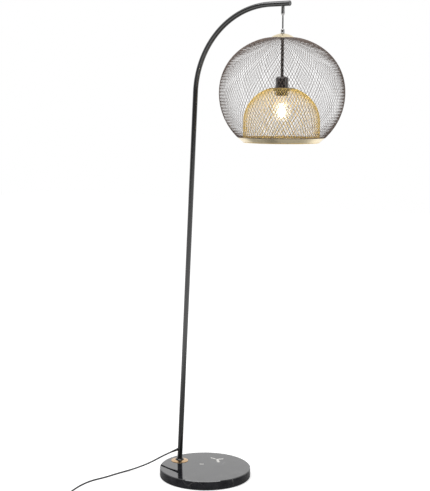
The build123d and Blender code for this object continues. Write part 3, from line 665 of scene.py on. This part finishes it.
lead_one = cord_curve("mains_lead", CORD_ONE_ROUTE, CORD_DIAMETER, "stand", ("mains_cord",))
lead_two = cord_curve(
    "coiled_lead", SWITCH_TO_COIL + coil_route() + COIL_TO_PLUG, CORD_DIAMETER, "stand",
    ("cord_to_coil", "cord_coil", "cord_to_plug"),
)
# rounded ends let the drop turn at the grips' mouths without touching the cords inside them
DROP_ROUNDING = 1
DROP_STRAIGHT = 8
DROP_END_SHARE = 0.55
DROP_HEIGHTS = [SWING_Z + DROP_DIAMETER / 2, SWING_Z + DROP_ROUNDING, SWING_Z - DROP_STRAIGHT]
DROP_HEIGHTS += [TILT_Z + DROP_STRAIGHT, TILT_Z - DROP_ROUNDING, TILT_Z - DROP_DIAMETER / 2]
drop = cord_curve(
    "shade_drop", [(SHADE_X, 0, height) for height in DROP_HEIGHTS], DROP_DIAMETER, "drop_cord",
    ("drop_cord",), end_share=DROP_END_SHARE, material=drop_sheath,
)

one_line, two_line = spline_line(lead_one), spline_line(lead_two)
pole_relief = tapered_sleeve("pole_strain_relief", one_line, length=24, thick=4.0, ribs=7)
switch_in_relief = tapered_sleeve("switch_rear_relief", one_line[::-1], length=30, thick=4.4, ribs=8)
switch_out_relief = tapered_sleeve("switch_front_relief", two_line, length=30, thick=4.4, ribs=8)
plug_relief = tapered_sleeve("plug_strain_relief", two_line[::-1], length=28, thick=4.4, ribs=8)
ties = [coil_tie("coil_tie_left", radians(150)), coil_tie("coil_tie_right", radians(30))]

# ---- wire meshes ----

OUTER_CELLS = 120
OUTER_ROWS = 42
OUTER_WIRE = 0.88
INNER_CELLS = 58
INNER_ROWS = 21
INNER_WIRE = 1.2


def cage_profile(step):
    """(radius, height) of the outer cage, for a step from 0 at its lower hoop to 1 at its upper."""
    power = 2 / CAGE_SQUARENESS
    low = -asin((CAGE_CENTRE - CAGE_BOTTOM) * CAGE_DRAW_IN / CAGE_RADIUS)
    high = acos((CAGE_TOP_RADIUS / CAGE_RADIUS) ** (1 / power))
    angle = low + (high - low) * step
    if angle < 0:
        return CAGE_RADIUS * cos(angle), CAGE_CENTRE + CAGE_RADIUS / CAGE_DRAW_IN * sin(angle)
    return CAGE_RADIUS * cos(angle) ** power, min(CAGE_SEAT, CAGE_CENTRE + CAGE_CROWN * sin(angle) ** power)


def dome_profile(step):
    """(radius, height) of the inner dome: an upright wall, then an elliptic shoulder."""
    wall = DOME_SPRING - DOME_BOTTOM
    high = acos(DOME_TOP_RADIUS / DOME_RADIUS)
    shoulder = high * (DOME_RADIUS + DOME_CROWN) / 2
    run = step * (wall + shoulder)
    if run < wall:
        return DOME_RADIUS, DOME_BOTTOM + run
    angle = high * (run - wall) / shoulder
    crown = (DOME_TOP - DOME_SPRING) / sin(high)
    return DOME_RADIUS * cos(angle), DOME_SPRING + crown * sin(angle)


def diamond_sheet(name, profile, cells, rows):
    """Expanded mesh: diamond openings on rings that are turned by half a cell from row to row."""
    corners, faces = [], []
    for row in range(rows + 1):
        radius, height = profile(row / rows)
        for cell in range(cells):
            angle = 2 * pi * (cell + 0.5 * (row % 2)) / cells
            corners.append((SHADE_X + radius * cos(angle), radius * sin(angle), height))
    for row in range(rows + 1):
        for cell in range(cells):
            left, right = row * cells + cell, row * cells + (cell + 1) % cells
            tip = (cell + row % 2) % cells
            below, above = (row - 1) * cells + tip, (row + 1) * cells + tip
            ends = [p for p, there in ((below, row > 0), (above, row < rows)) if there]
            faces.append((left, ends[0], right, ends[1]) if len(ends) == 2 else (left, right, ends[0]))
    return mesh_from(name, corners, faces)


def wire_cage(name, profile, cells, rows, thickness, stands_for, slot_name, material=None):
    """Mesh whose edges become strands of even thickness."""
    sheet = diamond_sheet(name, profile, cells, rows)
    cage = new_piece(name, sheet, "shade", slot_name, stands_for, material)
    strands = cage.modifiers.new("strands", "WIREFRAME")
    strands.thickness = thickness * MM
    strands.offset = 0
    strands.use_replace = True
    strands.use_even_offset = True


wire_cage(
    "outer_mesh", cage_profile, OUTER_CELLS, OUTER_ROWS, OUTER_WIRE, ("outer_cage",), "black_wire"
)
wire_cage(
    "inner_mesh", dome_profile, INNER_CELLS, INNER_ROWS, INNER_WIRE, ("inner_cage",), "brass", brass_wire
)

HOOP_STEPS = 144
HOOP_CREASE = 60


def rim_hoop(name, radius, height, thickness, slot_name, material=None):
    """Round edge wire of a cage."""
    outline = arc((radius, height), thickness / 2, 0, 330, 11)
    new_piece(name, lathe(name, outline, SHADE_X, HOOP_STEPS, HOOP_CREASE), "shade", slot_name, (), material)


rim_hoop("outer_mesh_lower_hoop", cage_profile(0)[0] - 0.6, CAGE_BOTTOM - 0.2, 1.8, "black_wire")
rim_hoop("outer_mesh_upper_hoop", CAGE_TOP_RADIUS - 1.0, CAGE_SEAT - 0.4, 1.6, "black_wire")
rim_hoop("inner_mesh_lower_hoop", DOME_RADIUS - 0.7, DOME_BOTTOM + 0.9, 1.8, "brass", brass_wire)
rim_hoop("inner_mesh_upper_hoop", DOME_TOP_RADIUS - 1.0, DOME_TOP - 0.8, 1.6, "brass", brass_wire)

# ---- turned pieces with their true curves ----

DISC_SHEET = 1.2
DISC_RIM = (37.0, DISC_EDGE + 0.4)
DISC_CROWN = (6.6, DISC_TOP)
PIPE_HOLE = 5.1
FINE_STEPS = 128


def top_disc():
    """Domed brass disc with a rolled edge and a small flat at its crown."""
    outline = ball_arc(DISC_RIM, DISC_CROWN, 24)
    outline += [(PIPE_HOLE, DISC_TOP), (PIPE_HOLE, DISC_TOP - DISC_SHEET)]
    outline += reversed(ball_arc(DISC_RIM, DISC_CROWN, 24, inward=DISC_SHEET))
    outline += [(36.3, DISC_EDGE - 1.0), (37.3, DISC_EDGE - 1.1), (37.6, DISC_EDGE - 0.5)]
    new_piece("top_disc", lathe("top_disc", outline, SHADE_X, FINE_STEPS), "shade", "brass", ("top_cap",))


COVER_TOP = BASE_TOP + 4
COVER_CROWN = (13.4, COVER_TOP)
COVER_HOLE = 9.6


def foot_cover():
    """Spun brass cover of the foot with a soft rim."""
    outline = arc((28.3, BASE_TOP + 0.72), 0.7, -80, 40, 6)
    outline += ball_arc((28.6, BASE_TOP + 1.2), COVER_CROWN, 16)
    outline += [(COVER_HOLE, COVER_TOP), (COVER_HOLE, BASE_TOP + 2.9)]
    outline += reversed(ball_arc((28.0, BASE_TOP + 0.9), COVER_CROWN, 16, inward=1.0))
    mesh = lathe("foot_cover", outline, FOOT_X, FINE_STEPS)
    new_piece("foot_cover", mesh, "stand", "brass", ("rosette",), spun_foot)


BULB_RADIUS = 30
BULB_NECK = 12.6
BULB_NECK_TOP = FLANGE_BOTTOM - 19.0
BULB_LEAVE = 42
BULB_STEPS = 64
CORE_STEPS = 48
CORE_EGG = 0.22


def bulb_globe():
    """Round frosted bulb that draws in to its cap through a hollow curve."""
    neck_radius, neck_top = BULB_NECK, BULB_NECK_TOP
    ball = arc((0, BULB_BOTTOM + BULB_RADIUS), BULB_RADIUS, -90, BULB_LEAVE, 36)
    across, rise = ball[-1][0] - neck_radius, neck_top - ball[-1][1]
    turn = radians(BULB_LEAVE)
    hollow = (across**2 + rise**2) / (2 * (rise * sin(turn) - across * cos(turn)))
    throat = (ball[-1][0] + hollow * cos(turn), ball[-1][1] + hollow * sin(turn))
    to_neck = Vector((neck_radius - throat[0], neck_top - throat[1]))
    last = to_neck.angle_signed(Vector((1, 0))) * 180 / pi
    neck = arc(throat, hollow, 180 + BULB_LEAVE, last % 360, 12)[1:]
    outline = [(0, ball[0][1])] + ball[1:] + neck + [(0, neck_top)]
    mesh = lathe("bulb_globe", outline, SHADE_X, BULB_STEPS)
    new_piece("bulb_globe", mesh, "shade", "bulb_white", ("bulb_glass",))


def bulb_core(name, half_width, low, high, material):
    """Egg-shaped glow inside the globe, wider below its middle."""
    middle, half = (low + high) / 2, (high - low) / 2
    outline = [(0, low)]
    for step in range(1, 16):
        angle = -pi / 2 + pi * step / 16
        outline.append((half_width * cos(angle) * (1 - CORE_EGG * sin(angle)), middle + half * sin(angle)))
    outline.append((0, high))
    new_piece(name, lathe(name, outline, SHADE_X, CORE_STEPS), "shade", "bulb_white", (), material)


CAP_RADIUS = 20.2
CAP_ROUND = 9
CAP_WALL_TOP = HOLDER_TOP - 8


def holder_dome():
    """Upper half of the lampholder with a full round shoulder and a fine parting groove."""
    low = FLANGE_BOTTOM + 8
    outline = [(CAP_RADIUS, low), (CAP_RADIUS, low + 0.5), (19.8, low + 0.7), (19.8, low + 1.1)]
    outline.append((CAP_RADIUS, low + 1.3))
    outline += arc((11.2, HOLDER_TOP - CAP_ROUND), CAP_ROUND, 0, 90, 16)
    outline += [(5.05, HOLDER_TOP), (5.05, CAP_WALL_TOP), (18.2, CAP_WALL_TOP), (18.2, low)]
    mesh = lathe("holder_dome", outline, SHADE_X)
    new_piece("holder_dome", mesh, "shade", "holder_black", ("holder_cap",))


BAND_SHEET = 1.5
BAND_TOP = CAGE_BOTTOM - 1.0
BAND_BOTTOM = DOME_BOTTOM - 1.5
BAND_INNER = 113.0
BAND_STEPS = 160


def brass_band():
    """Band between the cages, on the outer cage's ball, with rolled edges above and below."""
    sheet, top, bottom = BAND_SHEET, BAND_TOP, BAND_BOTTOM

    def on_ball(height, inward=0.0):
        return (CAGE_RADIUS**2 - ((height - CAGE_CENTRE) * CAGE_DRAW_IN) ** 2) ** 0.5 - inward

    heights = [bottom + 0.5 + (top - bottom - 1.0) * step / 10 for step in range(11)]
    outline = [(on_ball(bottom) - 0.6, bottom)] + [(on_ball(h), h) for h in heights]
    outline += [(on_ball(top) - 0.7, top), (on_ball(top) - 6, top), (on_ball(top) - 6, top - sheet)]
    outline += [(on_ball(h, 2.0), h) for h in (top - sheet, (top + bottom) / 2, bottom + sheet)]
    eased = BAND_INNER + 0.4
    outline += [(eased, bottom + sheet), (BAND_INNER, bottom + sheet - 0.4)]
    outline += [(BAND_INNER, bottom + 0.4), (eased, bottom)]
    mesh = lathe("brass_band", outline, SHADE_X, BAND_STEPS)
    new_piece("brass_band", mesh, "shade", "brass", ("bottom_ring",))


top_disc()
foot_cover()
bulb_globe()
white_hot = glowing("white_hot", (1.0, 0.97, 0.90), (1.0, 0.93, 0.80), strength=10.0, alpha=1.0)
bulb_core("bulb_core", half_width=9.2, low=1210, high=1252, material=white_hot)
warm_haze = glowing("warm_haze", (1.0, 0.88, 0.62), (1.0, 0.82, 0.52), strength=0.8, alpha=0.28)
bulb_core("bulb_halo", half_width=15, low=1205, high=1259, material=warm_haze)
holder_dome()
brass_band()

# ---- floor and light ----

FLOOR_GLOW = 0.45
FAR_GLOW = 0.75
FLOOR_IN_GLOSS = 0.52
ROOM_FILL = 0.35
DIM_SIDE = Vector((0.575, -0.818, 0.0))
DIM_LEVEL = 0.12
DIM_EDGE = (-0.05, 0.30)
FLOOR_HALF = 9e3
FLOOR_WHITE = (0.9, 0.9, 0.9, 1)
FLOOR_ROUGHNESS = 0.9
NEAR_AND_FAR_FLOOR = (0.9, 1.6)
WHITE = (1, 1, 1, 1)


def seen_directly(tools):
    """1 for rays that show the background: from the camera, in gloss and through glass."""
    ray = tools.add("ShaderNodeLightPath").outputs
    direct = tools.math("MAXIMUM", ray["Is Camera Ray"], ray["Is Glossy Ray"])
    return tools.math("MAXIMUM", direct, ray["Is Transmission Ray"])


def add_floor():
    """White floor that keeps the lamp's shadow; glossy rays see its near part less bright."""
    signs = ((-1, -1), (1, -1), (1, 1), (-1, 1))
    corners = [(x * FLOOR_HALF, y * FLOOR_HALF, 0) for x, y in signs]
    floor = bpy.data.objects.new("floor", mesh_from("floor", corners, [(0, 1, 2, 3)]))
    bpy.context.scene.collection.objects.link(floor)
    material, tools, shader = start_material("white_floor")
    place = tools.add("ShaderNodeTexCoord").outputs["Object"]
    reach = tools.add("ShaderNodeVectorMath", {"operation": "LENGTH"})
    tools.put(reach.inputs[0], place)
    far = tools.spread(reach.outputs["Value"], *NEAR_AND_FAR_FLOOR)
    gloss = tools.add("ShaderNodeLightPath").outputs["Is Glossy Ray"]
    near_gloss = tools.math("MULTIPLY", gloss, tools.math("SUBTRACT", 1.0, far))
    tint = tools.mix(near_gloss, FLOOR_WHITE, (FLOOR_IN_GLOSS, FLOOR_IN_GLOSS, FLOOR_IN_GLOSS, 1))
    tools.put(shader.inputs["Base Color"], tint)
    shader.inputs["Roughness"].default_value = FLOOR_ROUGHNESS
    shader.inputs["Specular IOR Level"].default_value = 0.0
    shader.inputs["Emission Color"].default_value = WHITE
    level = tools.spread(far, 0.0, 1.0, FLOOR_GLOW, FAR_GLOW)
    shown = tools.math("MULTIPLY", seen_directly(tools), tools.math("SUBTRACT", 1.0, near_gloss))
    tools.put(shader.inputs["Emission Strength"], tools.math("MULTIPLY", shown, level))
    floor.data.materials.append(material)


def add_room_light():
    """White room; glossy rays see the side in front of the lamp dim, and the lamp is lit by a low fill."""
    world = bpy.data.worlds.new("studio")
    bpy.context.scene.world = world
    world.use_nodes = True
    tools = Nodes(world.node_tree)
    toward = tools.add("ShaderNodeTexCoord").outputs["Generated"]
    facing = tools.add("ShaderNodeVectorMath", {"operation": "DOT_PRODUCT"})
    tools.put(facing.inputs[0], toward)
    facing.inputs[1].default_value = DIM_SIDE
    dim = tools.spread(facing.outputs["Value"], *DIM_EDGE, 1.0, DIM_LEVEL)
    ray = tools.add("ShaderNodeLightPath").outputs
    plain = tools.math("MAXIMUM", ray["Is Camera Ray"], ray["Is Transmission Ray"])
    in_gloss = tools.math("MULTIPLY", ray["Is Glossy Ray"], dim)
    lighting = tools.math("SUBTRACT", 1.0, seen_directly(tools))
    fill = tools.math("MULTIPLY", lighting, ROOM_FILL)
    level = tools.math("MAXIMUM", tools.math("MAXIMUM", plain, in_gloss), fill)
    background = world.node_tree.nodes["Background"]
    background.inputs[0].default_value = WHITE
    tools.put(background.inputs[1], level)


def add_softbox(name, place, aim, size, radiance):
    """Rectangular lamp turned towards a point, as bright as its radiance says."""
    data = bpy.data.lights.new(name, "AREA")
    data.shape, data.size, data.size_y = "RECTANGLE", size[0], size[1]
    data.energy = radiance * pi * size[0] * size[1]
    lamp = bpy.data.objects.new(name, data)
    ahead = (Vector(aim) - Vector(place)).normalized()
    lamp.matrix_world = Matrix.Translation(place) @ ahead.to_track_quat("-Z", "Y").to_matrix().to_4x4()
    lamp.visible_camera = False
    bpy.context.scene.collection.objects.link(lamp)


add_floor()
add_room_light()
add_softbox("overhead_softbox", place=(0.35, -0.9, 3.3), aim=(0.1, -0.1, 0.9), size=(3.6, 1.7), radiance=4.2)
add_softbox("side_softbox", place=(2.6, 0.1, 2.0), aim=(0.1, 0.0, 1.2), size=(0.35, 1.6), radiance=4.0)

bpy.context.scene.view_settings.view_transform = "Standard"

bpy.context.view_layer.update()
